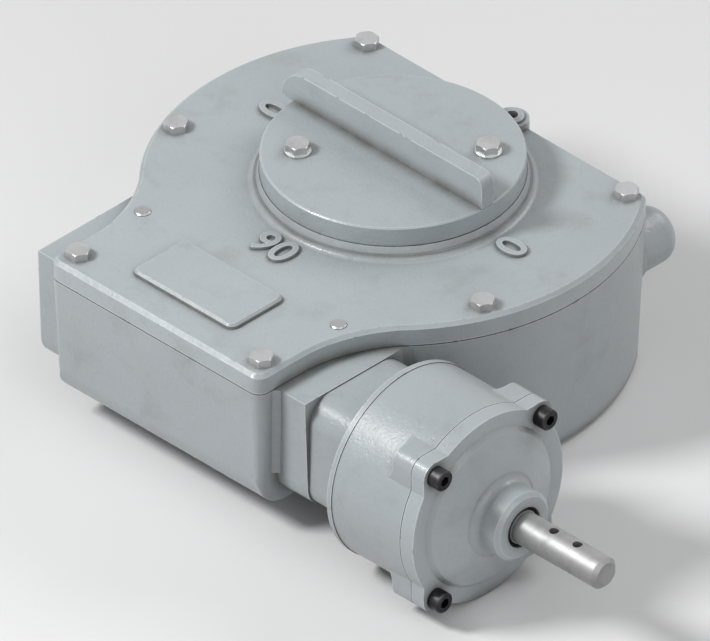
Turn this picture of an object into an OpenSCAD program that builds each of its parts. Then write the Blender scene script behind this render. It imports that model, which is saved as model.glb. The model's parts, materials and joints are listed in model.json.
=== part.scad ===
// Quarter-turn worm gear operator with a planetary input reducer.
// The origin is on the valve stem axis at the base face, +Z is up and +X runs along the input shaft.

/* [Gear train] */
// Module of the worm and the quadrant
gear_m = 5; // [4.5:0.1:5.2]
// Teeth on the full worm wheel
wheel_teeth = 46; // [44:1:47]
// Pitch radius of the worm
worm_pitch_r = 24; // [23:0.5:25]
// Turns of the worm thread
worm_turns = 4.5; // [3:0.5:5]
// Height of the worm axis above the base
worm_z = 58.7; // [57:0.1:60]
// Width of the toothed rim
rim_w = 34; // [26:1:38]
// Depth of the rim below the tooth roots
rim_t = 14; // [10:1:18]
// Thickness of the quadrant web
web_t = 24; // [18:1:28]
// How far the quadrant runs past its middle planes
quad_edge = 28; // [26:1:32]
// Play on each worm flank
worm_play = 0.25; // [0.15:0.05:0.4]
// Module of the reducer gears
red_m = 2; // [1.9:0.05:2.05]
// Teeth on the sun and on each planet
sun_teeth = 15; // [15:1:15]
// Width of the reducer gears
red_w = 20; // [16:1:21]
// Play on each reducer tooth flank
red_play = 0.12; // [0.08:0.02:0.2]

/* [Housing] */
// Height of the housing casting
body_h = 97.2; // [96:0.1:99]
// Gap between the quadrant teeth and the wall
rim_gap = 6; // [5:0.5:8]
// Wall outside the gear chamber at the rim
rim_wall = 20.3; // [19:0.1:23]
// Draft of the round wall over its height
draft_in = 4.8; // [2:0.1:6]
// Distance from the stem axis to the flat back
back_flat = 93.4; // [92:0.1:98]
// Radius of the two back corners
back_round = 8; // [7:0.5:10]
// Thickness of the back wall
back_wall = 12; // [9:0.5:14]
// Thickness of the chamber floor
floor_t = 20; // [17:0.5:22]
// Width of the worm box
box_w = 171; // [166:0.5:175]
// Distance from the worm axis to the front of the box
box_front = 55.5; // [52:0.5:58]
// Height of the underside of the worm box
box_under = 13; // [11:0.5:15]
// Radius of the lower front edge of the worm box
box_round = 23; // [18:0.5:25]
// Corner radius of the worm box
box_corner = 7; // [4:0.5:9]
// Radius of the waist between box and round body
waist_r = 100; // [85:1:110]
// Thickness of the worm box front wall
box_wall = 12.5; // [10:0.5:14]
// Width over the two end blocks
block_w = 217.2; // [214:0.2:222]
// Distance from the worm axis to the front of the end blocks
block_front = 41.3; // [40:0.1:44]
// Height of the underside of the end blocks
block_under = 20; // [18:0.5:22]
// Radius of the lower front edge of the end blocks
block_round = 16.4; // [12:0.2:18]
// Fillet between the worm box and the front of an end block
front_fillet = 5; // [3:0.5:6]
// Fillet between an end block and the round body
rear_fillet = 15; // [8:1:18]
// Half width of the boss that carries the reducer
boss_half = 37.8; // [37:0.2:40]
// Corner radius of that boss
boss_corner = 16; // [12:0.5:18]
// Length of that boss
boss_len = 37.4; // [36:0.2:40]

/* [Cover] */
// Thickness of the cover gasket
gasket_t = 0.8; // [0.5:0.1:1.5]
// Thickness of the cover plate
cover_t = 13; // [11:0.5:15]
// Break of the cover's top edge
cover_break = 2.3; // [1:0.1:3]
// Height of the indicator boss
ind_boss_h = 7.8; // [6:0.2:10]
// Radius of the indicator boss at its foot
ind_boss_r = 80.6; // [78:0.2:84]
// Radius of the indicator boss at its top
ind_boss_top_r = 77.6; // [76:0.2:78]
// Fillet at the foot of the indicator boss
ind_boss_fillet = 3.6; // [2:0.2:5]
// Length of the bare plate pad
pad_l = 82; // [70:1:86]
// Width of the bare plate pad
pad_w = 43.8; // [36:0.2:44]
// Height of the bare plate pad
pad_h = 3.3; // [2:0.1:4]
// Corner radius of the bare plate pad
pad_corner = 5; // [3:0.5:8]
// Chamfer of the bare plate pad
pad_break = 1.4; // [0.5:0.1:2]
// Radius of the lifting boss on the back edge
ear_r = 10.3; // [9:0.1:12]
// Radius of the raised face of the lifting boss
ear_face_r = 7.4; // [6:0.1:8]
// Height of the shoulder of the lifting boss over the cover
ear_rise = 4.6; // [3:0.1:6]
// Height of the raised face over the shoulder
ear_step = 2; // [1:0.1:3]
// Tapping radius of the lifting hole
ear_hole_r = 3.7; // [3:0.1:4.5]
// Depth of the lifting hole
ear_hole_d = 14; // [10:0.5:16]
// Place of the lifting boss along the back edge
ear_x = 8.5; // [0:0.5:20]
// Distance of the lifting boss inside the flat back
ear_in = 5.4; // [3:0.1:8]

/* [Mounts] */
// Pitch circle of the valve flange screws
flange_pcd = 165; // [160:1:168]
// Tapping radius of the valve flange screws
flange_tap_r = 8.75; // [7:0.25:9]
// Depth of the valve flange holes
flange_depth = 32; // [28:1:33]
// Radius of the valve register
register_r = 65; // [62:0.5:67]
// Depth of the valve register
register_h = 4; // [2:0.5:5]
// Radius of the valve stem bore
stem_r = 30; // [25:0.5:32]
// Width of the stem keyway
key_w = 18; // [14:0.5:20]
// Depth of the stem keyway
key_d = 4.4; // [3:0.2:5]
// Radius of the input shaft
shaft_r = 10; // [9:0.1:10.5]
// Length of input shaft outside the reducer hub
shaft_out = 66.9; // [55:0.1:80]
// Radius of the cross holes in the input shaft
cross_r = 3; // [2:0.1:4]
// Distance of the outer cross hole from the shaft end
cross_end = 23.3; // [18:0.1:26]
// Distance between the two cross holes
cross_gap = 19; // [14:0.5:22]

/* [Quadrant hub] */
// Radius of the lower journal
low_r = 56; // [54:0.5:56.5]
// Radius of the upper journal
top_r = 62; // [60.5:0.5:63]
// Radius of the hub between the journals
hub_r = 70; // [68:0.5:72]
// Wall of the hub bushes
bush_t = 4; // [3:0.5:4.5]
// Thickness of the bush collars
collar_t = 3; // [2:0.5:4]
// Height of the floor boss under the hub
floor_boss = 11; // [9:0.5:12]
// Width of the lower seal
low_seal_w = 6.5; // [5:0.5:8]
// Outer radius of the drive sleeve splines
spline_r = 44; // [43:0.5:45]
// Depth of the splines
spline_d = 2.5; // [2:0.1:3]
// Number of splines
spline_n = 24; // [18:1:28]
// Height of the lower end of the drive sleeve
sleeve_low = 8; // [7.5:0.1:10]
// Height of the upper end of the drive sleeve
sleeve_top = 104; // [95:0.5:108]

/* [Indicator] */
// Radius of the indicator plate
ind_r = 77; // [74:0.2:79]
// Thickness of the indicator plate
ind_t = 12.3; // [10:0.1:14]
// Gap between the indicator plate and its boss
ind_gap = 0.3; // [0.3:0.1:1]
// Width of the pointer bar
bar_w = 10; // [8:0.5:12]
// Height of the pointer bar
bar_h = 20; // [16:0.5:22]
// Reach of the pointer tip
bar_tip = 86; // [82:0.5:90]
// Reach of the pointer tail
bar_tail = 77; // [70:0.5:77]
// Radius over the pointer tip
bar_round = 19; // [14:0.5:19.5]
// Distance of the indicator bolts from the middle planes
ind_bolt_at = 38.8; // [37.5:0.1:39]

/* [Fasteners] */
// Shank radius of the M8 bolts
m8_r = 4; // [3.9:0.1:4.1]
// Width across flats of the M8 hex heads
m8_af = 13; // [12:0.5:14]
// Height of the M8 hex heads
m8_k = 5.3; // [4.5:0.1:6]
// Head radius of the M8 socket screws
m8_cap_r = 6.5; // [6:0.1:7]
// Width across flats of the M8 sockets
m8_socket = 6; // [5:0.5:6.5]
// Depth of thread in the castings
m8_grip = 16; // [12:1:18]
// Distance of the cover bolts inside the round edge
bolt_edge = 11.1; // [10:0.1:12]
// Distance of the rear bolts inside the flat back
bolt_back = 9.2; // [8:0.1:10]
// Angle of the side bolts below the X axis
bolt_angle = 22.6; // [18:0.2:26]
// Distance of the front bolts inside the box sides
bolt_side = 11; // [10:0.1:12]
// Distance of the front bolts inside the box front
bolt_front = 12.9; // [10:0.1:14]
// Radius of the locating dowels
dowel_r = 4.8; // [4:0.1:5]
// Depth of the locating dowels in the housing
dowel_deep = 8; // [6:0.5:8.5]
// Distance of the dowels inside the box sides
dowel_side = 5.8; // [5.6:0.1:7]
// Distance of the dowels behind the worm axis
dowel_back = 15; // [13:0.5:20]

/* [Stops] */
// Distance of each stop screw from the middle plane
stop_x = 90; // [88:0.5:91]
// Radius of the stop screws
stop_r = 8; // [7:0.5:8]
// Inward travel left between screw and quadrant
stop_gap = 0.3; // [0.3:0.1:0.5]
// Radius of the outer stop bosses
stop_boss_r = 19.5; // [18.5:0.5:20.5]
// Height of the outer stop bosses on the back
stop_boss_h = 3.6; // [2:0.2:6]
// Radius of the stop caps
stop_cap_r = 17.7; // [17.2:0.1:18.3]
// Length of the straight part of the stop caps
stop_cap_l = 19.7; // [18:0.1:22]
// Length of the domed part of the stop caps
stop_dome = 10.3; // [9:0.1:11]
// Thickness of the lock nuts
stop_nut_t = 8; // [7:0.5:9]
// Width across flats of the lock nuts
stop_nut_af = 24; // [22:0.5:24]
// Adjustment of the stop screws
stop_adjust = 5; // [3:0.5:6]

/* [Worm shaft] */
// Bore radius of the left worm bearing
lb_in = 12.5; // [12:0.5:13]
// Outer radius of the left worm bearing
lb_out = 26; // [25:0.5:27]
// Width of the left worm bearing
lb_w = 15; // [13:0.5:16]
// Bore radius of the right worm bearing
rb_in = 15; // [14.5:0.5:15.5]
// Outer radius of the right worm bearing
rb_out = 31; // [31:0.5:31.5]
// Width of the right worm bearing
rb_w = 16; // [14:0.5:16]
// Thickness of the end plug
plug_t = 6; // [5:0.5:6]
// Thickness of the retaining rings
clip_t = 2; // [1.5:0.1:2.4]
// Depth of the retaining ring grooves
clip_d = 2; // [1.5:0.1:2]
// Depth of the right worm bearing below the boss face
rb_set = 30; // [28:0.5:32]
// Width of the seal on the carrier hub
worm_seal_w = 8; // [6:0.5:9]
// Width of the key between worm shaft and carrier
drive_key = 7; // [6:0.5:8]
// Radius of the carrier hub
hub_out = 20; // [19.5:0.5:21]
// Radius of the worm shaft in the carrier
stub_r = 12.4; // [12:0.1:12.6]

/* [Reducer] */
// Thickness of the reducer gasket
red_gasket_t = 0.5; // [0.3:0.1:1]
// Outer radius of the reducer housing
red_r = 61; // [60:0.2:63]
// Outer radius of the rim at its back
red_rim_r = 61.5; // [61:0.1:63.5]
// Width of the rim at its back
red_rim_w = 3.5; // [2:0.5:6]
// Thickness of its back wall
red_back = 7.5; // [7:0.1:9]
// Length of the reducer housing
red_l = 59.3; // [59:0.1:62]
// Outer radius of the ring gear
ring_r = 54; // [52:0.5:54.5]
// Place of each lobe from the axis in both directions
lobe_at = 42.9; // [42:0.1:44]
// Radius of the lobes
lobe_r = 9; // [8:0.2:10]
// Length of the lobes
lobe_l = 15.8; // [12:0.2:18]
// Fillet at the rear end of the lobes
lobe_fillet = 5; // [3:0.5:7]
// Depth of the groove at the reducer joint
seam = 0.5; // [0.3:0.1:0.8]
// Thickness of the end cover
end_t = 10.2; // [9:0.1:12]
// Radius of the raised face at its foot
face_r = 51; // [49:0.2:53]
// Height of the step under the raised face
face_step = 2.7; // [2:0.1:3.5]
// Height of the raised face at the hub
face_rise = 10.7; // [10:0.1:13]
// Radius of the end cover hub
nose_r = 21.8; // [21:0.1:24]
// Length from the end cover face to the hub end
nose_l = 29.4; // [28:0.1:32]
// Chamfer of the end cover hub
nose_break = 2.5; // [1:0.1:3]
// Fillet between raised face and hub
nose_fillet = 5.2; // [3:0.1:6]
// Radius of the lip seal opening
lip_r = 12.9; // [12:0.1:14]
// Outer radius of the lip seal
seal_r = 16; // [15.5:0.1:16.5]
// Width of the lip seal
seal_w = 8; // [6:0.5:9]
// Distance of the ring gear from the back wall
ring_set = 12; // [11.5:0.1:13]
// How far the ring gear runs past the planets
ring_side = 2; // [1:0.5:3]
// Side clearance of the planets in the carrier
planet_side = 1; // [0.5:0.1:1.2]
// Distance of the worm shaft end from the carrier plate
stub_set = 9.5; // [8:0.5:11]
// Radius of the planet pins
pin_r = 6; // [5.5:0.1:6.2]
// Outer radius of the planet bushes
pbush_r = 8.5; // [8:0.1:8.7]
// Radius of the carrier plates
plate_r = 42; // [40:0.5:42.4]
// Thickness of the rear carrier plate
plate_t = 5.5; // [5:0.1:6]
// Thickness of the front carrier plate
front_t = 4; // [3:0.1:5]
// Pitch radius of the reducer mounting screws
mount_at = 40; // [39.5:0.1:40.5]
// Shank radius of the reducer mounting screws
m6_r = 3; // [2.8:0.1:3.1]
// Head radius of the reducer mounting screws
m6_cap_r = 5; // [4.6:0.1:5.2]
// Head height of the reducer mounting screws
m6_k = 6; // [5:0.1:6.2]
// Width across flats of the reducer mounting screws' sockets
m6_socket = 5; // [4:0.5:5.5]
// Depth of the reducer mounting screws in the boss
m6_grip = 18; // [12:1:20]

/* [Fits] */
// Radial clearance of fitted pieces
fit = 0.05; // [0.03:0.01:0.08]
// Radial clearance of screws in clearance holes
screw_gap = 0.5; // [0.3:0.1:0.8]

/* [Hidden] */
$fn = 72;
eps = 0.01;
over = 1;
press_angle = 20;

wheel_pitch_r = gear_m * wheel_teeth / 2;
wheel_tip_r = wheel_pitch_r + gear_m;
wheel_root_r = wheel_pitch_r - 1.2 * gear_m;
rim_in_r = wheel_root_r - rim_t;
worm_tip_r = worm_pitch_r + gear_m;
worm_root_r = worm_pitch_r - 1.2 * gear_m;
axis_y = wheel_pitch_r + worm_pitch_r;
pitch_len = PI * gear_m;
lead_angle = atan(pitch_len / (2 * PI * worm_pitch_r));
thread_l = worm_turns * pitch_len;
chamber_r = wheel_tip_r + rim_gap;
body_r = chamber_r + rim_wall;
box_y = axis_y + box_front;
block_y = axis_y + block_front;
back_cy = back_flat - back_round;
back_cx = sqrt(pow(body_r - back_round, 2) - pow(back_cy, 2));
waist_x = box_w / 2 + waist_r;
waist_y = sqrt(pow(body_r + waist_r, 2) - pow(waist_x, 2));
cover_z = body_h + gasket_t;
cover_top = cover_z + cover_t;
boss_top = cover_top + ind_boss_h;
ind_z = boss_top + ind_gap;
ind_top = ind_z + ind_t;
bolt_r = body_r - bolt_edge;
rear_bolt_y = back_flat - bolt_back;
rear_bolt_x = sqrt(pow(bolt_r, 2) - pow(rear_bolt_y, 2));
BOLTS = [[box_w / 2 - bolt_side, bolt_front - box_y],
    [bolt_r * cos(bolt_angle), -bolt_r * sin(bolt_angle)], [rear_bolt_x, rear_bolt_y]];
dowel_x = box_w / 2 - dowel_side;
dowel_y = dowel_back - axis_y;
flange_at = flange_pcd / 2 * sin(45);
bush_z = register_h + low_seal_w + 1.5;
hub_low = floor_t + floor_boss + collar_t + 0.3;
hub_high = cover_z - collar_t - 0.3;
boss_x = block_w / 2 + boss_len;
cav_x = 64;
cav_front = box_y - box_wall;
// places along the worm axis
lb_x = -block_w / 2 + plug_t + clip_t + 0.6;
lb_end = lb_x + lb_w;
rb_x = boss_x - rb_set;
rb_end = rb_x + rb_w;
red_x = boss_x + red_gasket_t;
wall_x = red_x + red_back;
ring_x = wall_x + ring_set;
gear_x = ring_x + ring_side;
gear_end = gear_x + red_w;
ring_w = red_w + 2 * ring_side;
end_x = red_x + red_l;
plate_x = gear_x - planet_side - plate_t;
front_x = gear_end + planet_side;
carrier_end = front_x + front_t;
face_x = end_x + end_t;
ib_x = end_x + 0.2;
nose_x = face_x + nose_l;
shaft_end = nose_x + shaft_out;
stub_end = plate_x - stub_set;
pilot_x = stub_end + 2;
sun_r = red_m * sun_teeth / 2;
planet_at = 2 * sun_r;
ring_teeth = 3 * sun_teeth;
ring_pitch_r = red_m * ring_teeth / 2;
stop_out = back_flat + stop_boss_h;
stop_tip = quad_edge + stop_gap;
spigot_r = stop_cap_r - 3.2;
spigot_l = 5;

function inv(a) = tan(a) * 180 / PI - a;
function base_r(m, z) = m * z / 2 * cos(press_angle);
function roll(m, z, r) = inv(acos(min(1, base_r(m, z) / r)));
function half_tooth(m, z, r) = 90 / z + inv(press_angle) - roll(m, z, max(r, base_r(m, z)));
function polar(r, a) = [r * cos(a), r * sin(a)];
// flank points from root to tip on one side of one tooth
function flank(m, z, r0, r1, play, n) = [for (i = [0:n]) let (r = r0 + (r1 - r0) * i / n)
    [r, half_tooth(m, z, r) - asin(play / r)]];
function tooth(f, a) = concat([for (p = f) polar(p[0], a - p[1])],
    [for (i = [len(f) - 1:-1:0]) polar(f[i][0], a + f[i][1])]);
function teeth(f, z) = [for (i = [0:z - 1]) each tooth(f, 360 * i / z)];
sun_flank = concat([[sun_r - 1.25 * red_m, half_tooth(red_m, sun_teeth, sun_r - 0.9) - asin(red_play / sun_r)]],
    flank(red_m, sun_teeth, sun_r - 0.9, sun_r + 0.95 * red_m, red_play, 3));
ring_flank = flank(red_m, ring_teeth, ring_pitch_r - 0.95 * red_m, ring_pitch_r + 1.25 * red_m, -red_play, 3);
wheel_flank = flank(gear_m, wheel_teeth, wheel_root_r - 1, wheel_tip_r, worm_play, 4);
spline_step = 360 / spline_n;
function spline(r0, r1) = [for (i = [0:spline_n - 1]) each [polar(r0, spline_step * (i - 0.3)),
    polar(r1, spline_step * (i - 0.2)), polar(r1, spline_step * (i + 0.2)), polar(r0, spline_step * (i + 0.3))]];

module yz_prism(w) {
    translate([-w / 2, 0, 0]) rotate([90, 0, 90]) linear_extrude(height=w) children();
}

module xz_prism(d) {
    rotate([90, 0, 0]) linear_extrude(height=d) children();
}

module worm_axis(x=0) {
    translate([x, -axis_y, worm_z]) rotate([0, 90, 0]) children();
}

module ring(h, ro, ri) {
    difference() {
        cylinder(h=h, r=ro);
        translate([0, 0, -over]) cylinder(h=h + 2 * over, r=ri);
    }
}

module hex(af, h) {
    cylinder(h=h, r=af / sqrt(3), $fn=6);
}

module both_sides() {
    children();
    mirror([1, 0, 0]) children();
}

module round_square(half_y, half_x, r) {
    square([2 * (half_x - r), 2 * half_y], center=true);
    square([2 * half_x, 2 * (half_y - r)], center=true);
    for (x = [-1, 1], y = [-1, 1]) translate([x * (half_x - r), y * (half_y - r)]) circle(r=r);
}

// round part of the body, inset by low at its foot and by high at its top
module round_part(z0, h, low, high) {
    k = 3 * back_round / (body_r - back_round);
    difference() {
        intersection() {
            translate([0, 0, z0]) cylinder(h=h, r1=body_r - low, r2=body_r - high);
            yz_prism(4 * body_r) polygon([[-2 * body_r, z0], [back_flat - low, z0],
                [back_flat - high, z0 + h], [-2 * body_r, z0 + h]]);
        }
        both_sides() translate([back_cx, back_cy, z0 - over]) linear_extrude(height=h + 2 * over)
            polygon([[0, 0], [0, 3 * back_round], [4 * back_round, 3 * back_round], [k * back_cx, k * back_cy]]);
    }
    both_sides() translate([back_cx, back_cy, z0]) cylinder(h=h, r1=back_round - 0.05 - low, r2=back_round - 0.05 - high);
}

// worm box part of the same outline, with round front corners
module box_part(z0, h, low, high) {
    w = box_w / 2;
    translate([0, box_corner - box_y, 0]) mirror([0, 1, 0]) xz_prism(box_y)
        polygon([[low - w, z0], [w - low, z0], [w - high, z0 + h], [high - w, z0 + h]]);
    yz_prism(box_w - 2 * box_corner)
        polygon([[low - box_y, z0], [0, z0], [0, z0 + h], [high - box_y, z0 + h]]);
    both_sides() translate([w - box_corner, box_corner - box_y, z0])
        cylinder(h=h, r1=box_corner - low, r2=box_corner - high);
}

// hollow waists that join the box to the round part
module waist_part(z0, h, low, high) {
    t = body_r / (body_r + waist_r);
    both_sides() difference() {
        translate([0, 0, z0]) linear_extrude(height=h)
            polygon([[-over, 0], [-over, -waist_y], [waist_x, -waist_y], [waist_x * t, -waist_y * t]]);
        translate([waist_x, -waist_y, z0]) cylinder(h=h, r1=waist_r + 0.3 + low, r2=waist_r + 0.3 + high);
    }
}

module slab(z0, h, low=0, high=0) {
    round_part(z0, h, low, high);
    box_part(z0, h, low, high);
    waist_part(z0, h, low, high);
}

// raised pad with round corners and a broken edge
module pad(l, w, r, h, c) {
    for (s = [[0, h - c, r, r], [h - c, c, r, r - c]]) translate([0, 0, s[0]]) {
        for (x = [-1, 1], y = [-1, 1]) translate([x * (l / 2 - r), y * (w / 2 - r), 0])
            cylinder(h=s[1], r1=s[2], r2=s[3]);
        translate([0, w / 2 - r, 0]) xz_prism(w - 2 * r)
            polygon([[s[2] - r - l / 2, 0], [l / 2 + r - s[2], 0], [l / 2 - r + s[3], s[1]], [r - s[3] - l / 2, s[1]]]);
        yz_prism(l - 2 * r)
            polygon([[s[2] - r - w / 2, 0], [w / 2 + r - s[2], 0], [w / 2 - r + s[3], s[1]], [r - s[3] - w / 2, s[1]]]);
    }
}

module hex_bolt(grip) {
    translate([0, 0, -grip]) cylinder(h=grip + eps, r=m8_r);
    intersection() {
        hex(m8_af, m8_k);
        cylinder(h=m8_k, r1=m8_af / sqrt(3) + m8_k - 0.8, r2=m8_af / sqrt(3) - 0.8);
    }
}

module socket_screw(r, k, head_r, socket, grip) {
    translate([0, 0, -grip]) cylinder(h=grip + eps, r=r);
    difference() {
        union() {
            cylinder(h=k - 0.6, r=head_r);
            translate([0, 0, k - 0.6]) cylinder(h=0.6, r1=head_r, r2=head_r - 0.6);
        }
        translate([0, 0, k / 2]) hex(socket, k);
    }
}

// ball bearing pieces along local Z
function ball_r(ri, ro) = 0.29 * (ro - ri);
function race_r(ri, ro) = (ri + ro) / 2;

module race_groove(ri, ro, w) {
    translate([0, 0, w / 2]) rotate_extrude()
        translate([race_r(ri, ro), 0]) circle(r=ball_r(ri, ro) + fit, $fn=48);
}

module outer_ring(ri, ro, w) {
    difference() {
        ring(w, ro - fit, race_r(ri, ro) + ball_r(ri, ro) * 0.5);
        race_groove(ri, ro, w);
    }
}

module inner_ring(ri, ro, w) {
    difference() {
        ring(w, race_r(ri, ro) - ball_r(ri, ro) * 0.5, ri + fit);
        race_groove(ri, ro, w);
    }
}

module balls(ri, ro, w, n=9) {
    difference() {
        translate([0, 0, w / 2 - 0.7 * ball_r(ri, ro)]) ring(1.4 * ball_r(ri, ro), race_r(ri, ro) + 1, race_r(ri, ro) - 1);
        for (i = [0:n - 1]) rotate(360 * i / n) translate([race_r(ri, ro), 0, w / 2])
            sphere(r=ball_r(ri, ro) + 0.1, $fn=32);
    }
    for (i = [0:n - 1]) rotate(360 * i / n) translate([race_r(ri, ro), 0, w / 2])
        sphere(r=ball_r(ri, ro), $fn=32);
}

// drafted profile of an end block, front edge rounded below
module block_profile() {
    slope = (draft_in - 1) / body_h;
    zc = block_under + block_round;
    uc = block_y - slope * (body_h - zc) - block_round / cos(atan(slope));
    a = atan(slope);
    polygon([[-96, block_under], [-uc, block_under], [-uc - block_round * cos(a), zc - block_round * sin(a)],
        [-block_y, body_h], [-96, body_h]]);
    translate([-uc, zc]) circle(r=block_round);
}

// inner corners of an end block, leaning with the drafted walls
module block_fillets() {
    slope = (draft_in - 1) / body_h;
    zc = block_under + block_round;
    uc = block_y - slope * (body_h - zc) - block_round / cos(atan(slope));
    w = block_w / 2;
    cx = w + rear_fillet;
    cy = sqrt(pow(body_r + rear_fillet, 2) - pow(cx, 2));
    foot_y = sqrt(pow(body_r - draft_in + rear_fillet, 2) - pow(cx, 2));
    t = (body_r - 4) / (body_r + rear_fillet);
    intersection() {
        union() {
            translate([box_w / 2, -block_y, body_h]) rotate([atan(slope), atan(draft_in / body_h), 0])
                translate([0, 0, zc - body_h]) linear_extrude(height=body_h) difference() {
                    translate([-3, -front_fillet]) square(front_fillet + 3);
                    translate([front_fillet, -front_fillet]) circle(r=front_fillet + 0.2);
                }
            translate([0, -cy, body_h]) rotate([atan((cy - foot_y) / body_h), 0, 0])
                translate([0, 0, -body_h]) linear_extrude(height=2 * body_h) difference() {
                    polygon([[w - 4, 0], [cx, 0], [cx * t, cy - cy * t], [w - 4, 26]]);
                    translate([cx, 0]) circle(r=rear_fillet + 0.2);
                }
        }
        translate([0, -box_y, block_under]) cube([2 * body_r, box_y, body_h - block_under]);
    }
    translate([box_w / 2 - draft_in * (1 - zc / body_h), -uc, zc]) rotate([0, 90, 0]) rotate([0, 0, 180])
        rotate_extrude(angle=90) difference() {
            translate([block_round - 3, -3]) square(front_fillet + 3);
            translate([block_round + front_fillet, front_fillet]) circle(r=front_fillet + 0.2);
        }
}

module housing_shell() {
    zc = box_under + box_round;
    slope = draft_in / body_h;
    a = atan(slope);
    uc = box_y - slope * (body_h - zc) - box_round / cos(a);
    round_part(0, body_h, draft_in, 0);
    difference() {
        union() {
            box_part(0, body_h, draft_in, 0);
            waist_part(0, body_h, draft_in, 0);
        }
        translate([-box_w, -box_y - over, -over]) cube([2 * box_w, box_y + over, box_under + over]);
        yz_prism(2 * box_w) difference() {
            polygon([[-uc, zc], [-uc - 2 * box_round, zc - 2 * box_round * tan(a)],
                [-uc - 2 * box_round, 0], [-uc, 0]]);
            translate([-uc, zc]) circle(r=box_round);
        }
    }
    yz_prism(block_w) block_profile();
    both_sides() block_fillets();
    worm_axis(block_w / 2 - 5) linear_extrude(height=boss_len + 5)
        round_square(boss_half, boss_half, boss_corner);
    both_sides() translate([stop_x, back_flat - back_wall - 14, worm_z]) rotate([-90, 0, 0])
        cylinder(h=back_wall + 14 + stop_boss_h, r=stop_boss_r);
    both_sides() translate([stop_x, stop_out - eps, worm_z]) rotate([-90, 0, 0])
        cylinder(h=spigot_l + eps, r=spigot_r - fit);
}

module housing() {
    color([0.62, 0.65, 0.66]) difference() {
        union() {
            difference() {
                housing_shell();
                intersection() {
                    translate([0, 0, floor_t]) cylinder(h=body_h, r=chamber_r);
                    translate([-chamber_r, -chamber_r, 0])
                        cube([2 * chamber_r, chamber_r + back_flat - back_wall, 2 * body_h]);
                }
                translate([-cav_x, -cav_front, floor_t + 4]) cube([2 * cav_x, cav_front, body_h]);
            }
            translate([0, 0, floor_t - over]) cylinder(h=floor_boss + over, r=low_r + bush_t + 14);
            for (a = [45:90:315]) rotate(a) translate([flange_pcd / 2, 0, floor_t - over])
                cylinder(h=flange_depth + 4 - floor_t + over, r=flange_tap_r + 8);
            intersection() {
                both_sides() translate([stop_x, back_flat - back_wall - 14, worm_z]) rotate([-90, 0, 0])
                    cylinder(h=16, r=stop_boss_r - 3);
                translate([0, 0, floor_t - over]) cylinder(h=body_h - floor_t - 4, r=body_r - 8);
            }
        }
        translate([0, 0, -over]) cylinder(h=register_h + over, r=register_r);
        cylinder(h=body_h, r=low_r + bush_t);
        translate([0, 0, floor_t + floor_boss]) cylinder(h=body_h, r=hub_r + 1);
        for (a = [45:90:315]) rotate(a) translate([flange_pcd / 2, 0, -over])
            cylinder(h=flange_depth + over, r=flange_tap_r);
        both_sides() for (b = BOLTS) translate([b[0], b[1], body_h - m8_grip - 2])
            cylinder(h=m8_grip + 2 + over, r=m8_r + fit);
        both_sides() translate([dowel_x, dowel_y, body_h - dowel_deep]) cylinder(h=dowel_deep + over, r=dowel_r + fit);
        both_sides() translate([stop_x, quad_edge, worm_z]) rotate([-90, 0, 0])
            cylinder(h=back_flat, r=stop_r + fit);
        worm_axis(-block_w / 2 - over) cylinder(h=lb_end + block_w / 2 + over, r=lb_out);
        worm_axis(-block_w / 2 - over) cylinder(h=block_w / 2, r=lb_in + 8);
        worm_axis(-block_w / 2 + 0.6) cylinder(h=clip_t, r=lb_out + clip_d);
        worm_axis(cav_x - over) cylinder(h=rb_x - cav_x + over, r=worm_tip_r + 0.5);
        worm_axis(rb_x) cylinder(h=boss_x - rb_x + over, r=rb_out);
        worm_axis(rb_end) cylinder(h=clip_t, r=rb_out + clip_d);
        for (a = [45:90:315]) worm_axis(boss_x - m6_grip - 6) rotate(a) translate([mount_at, 0, 0])
            cylinder(h=m6_grip + 6 + over, r=m6_r + fit);
    }
}

module cover_plate() {
    grow = cover_t + over - cover_break;
    intersection() {
        slab(cover_z, cover_t);
        slab(cover_z - over, cover_t + 2 * over, -grow, cover_break + over);
    }
}

module top_cover() {
    color([0.66, 0.69, 0.70]) difference() {
        union() {
            cover_plate();
            translate([0, 0, cover_top]) cylinder(h=ind_boss_h, r1=ind_boss_r, r2=ind_boss_top_r);
            translate([0, 0, cover_top]) rotate_extrude() difference() {
                translate([ind_boss_r - 4, 0]) square([4 + ind_boss_fillet, ind_boss_fillet]);
                translate([ind_boss_r + ind_boss_fillet, ind_boss_fillet]) circle(r=ind_boss_fillet);
            }
            translate([0, dowel_y - 26.4, cover_top]) pad(pad_l, pad_w, pad_corner, pad_h, pad_break);
            translate([ear_x, back_flat - ear_in, cover_z]) {
                cylinder(h=cover_t + ear_rise, r=ear_r);
                cylinder(h=cover_t + ear_rise + ear_step - 0.6, r=ear_face_r);
                translate([0, 0, cover_t + ear_rise + ear_step - 0.6])
                    cylinder(h=0.6, r1=ear_face_r, r2=ear_face_r - 0.6);
            }
        }
        translate([ear_x, back_flat - ear_in, cover_top + ear_rise + ear_step - ear_hole_d])
            cylinder(h=ear_hole_d + over, r=ear_hole_r);
        translate([0, 0, cover_z - over]) cylinder(h=2 * cover_t + ind_boss_h, r=top_r + bush_t);
        both_sides() for (b = BOLTS) translate([b[0], b[1], cover_z - over])
            cylinder(h=cover_t + 2 * over, r=m8_r + screw_gap);
        both_sides() translate([dowel_x, dowel_y, cover_z - over]) cylinder(h=cover_t + 2 * over, r=dowel_r + fit);
    }
}

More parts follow.
